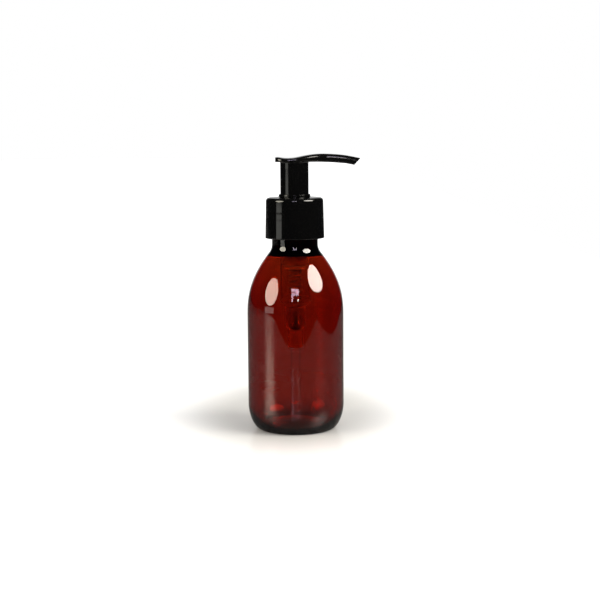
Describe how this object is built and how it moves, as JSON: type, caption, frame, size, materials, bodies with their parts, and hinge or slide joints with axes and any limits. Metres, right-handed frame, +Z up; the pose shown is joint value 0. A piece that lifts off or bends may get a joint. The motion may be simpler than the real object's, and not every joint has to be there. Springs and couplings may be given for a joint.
{
  "type": "soap pump dispenser",
  "caption": "Round-shouldered amber bottle with a screw closure and a press-down lotion pump whose saddle head carries a downturned spout.",
  "frame": {"origin": "middle of the overall footprint, bottle and spout together, on the surface the bottle stands on; the bottle's axis is 4.075 mm from it towards -X", "axes": "+Z up along the bottle's axis, +X the way the spout points, Y across the spout"},
  "size_m": [0.0542, 0.0462, 0.1318],
  "materials": {
    "bottle": "clear deep amber blown PET, polished",
    "black_moulding": "glossy black polypropylene",
    "natural_moulding": "natural translucent polypropylene",
    "seal": "soft natural polyethylene",
    "gasket": "foamed polyethylene washer",
    "spring": "bright drawn stainless wire",
    "ball": "polished stainless ball"
  },
  "bodies": {
    "bottle": {"bottle": "bottle"},
    "pump_body": {"housing": "natural_moulding", "guide": "black_moulding", "gasket": "gasket", "dip_tube": "natural_moulding", "spring": "spring"},
    "closure": {"closure": "black_moulding"},
    "plunger": {"stem": "natural_moulding", "piston_seat": "natural_moulding"},
    "head": {"actuator_head": "black_moulding"},
    "piston_seal": {"piston_seal": "seal"},
    "inlet_ball": {"inlet_ball": "ball"}
  },
  "joints": [
    {"name": "pump_rise", "type": "slide", "parent": "bottle", "child": "pump_body", "axis": [0, 0, 1], "range_m": [0, 0.00476]},
    {"name": "closure_turn", "type": "hinge", "parent": "pump_body", "child": "closure", "pos_m": [-0.00407, 0, 0.1], "axis": [0, 0, 1], "range_deg": [0, 540]},
    {"name": "press", "type": "slide", "parent": "pump_body", "child": "plunger", "axis": [0, 0, 1], "range_m": [-0.0145, 0], "stiffness_N_per_m": 1400, "springref_m": 0.003, "deforming": ["spring"]},
    {"name": "head_swivel", "type": "hinge", "parent": "plunger", "child": "head", "pos_m": [-0.00407, 0, 0.12], "axis": [0, 0, 1], "continuous": true},
    {"name": "seal_slide", "type": "slide", "parent": "plunger", "child": "piston_seal", "axis": [0, 0, 1], "range_m": [0, 0.001]},
    {"name": "inlet_ball_lift", "type": "slide", "parent": "pump_body", "child": "inlet_ball", "axis": [0, 0, 1], "range_m": [0, 0.0015]}
  ],
  "couplings": [
    {"joint": "pump_rise", "follows": "closure_turn", "m_per_rad": 0.00050532}
  ]
}
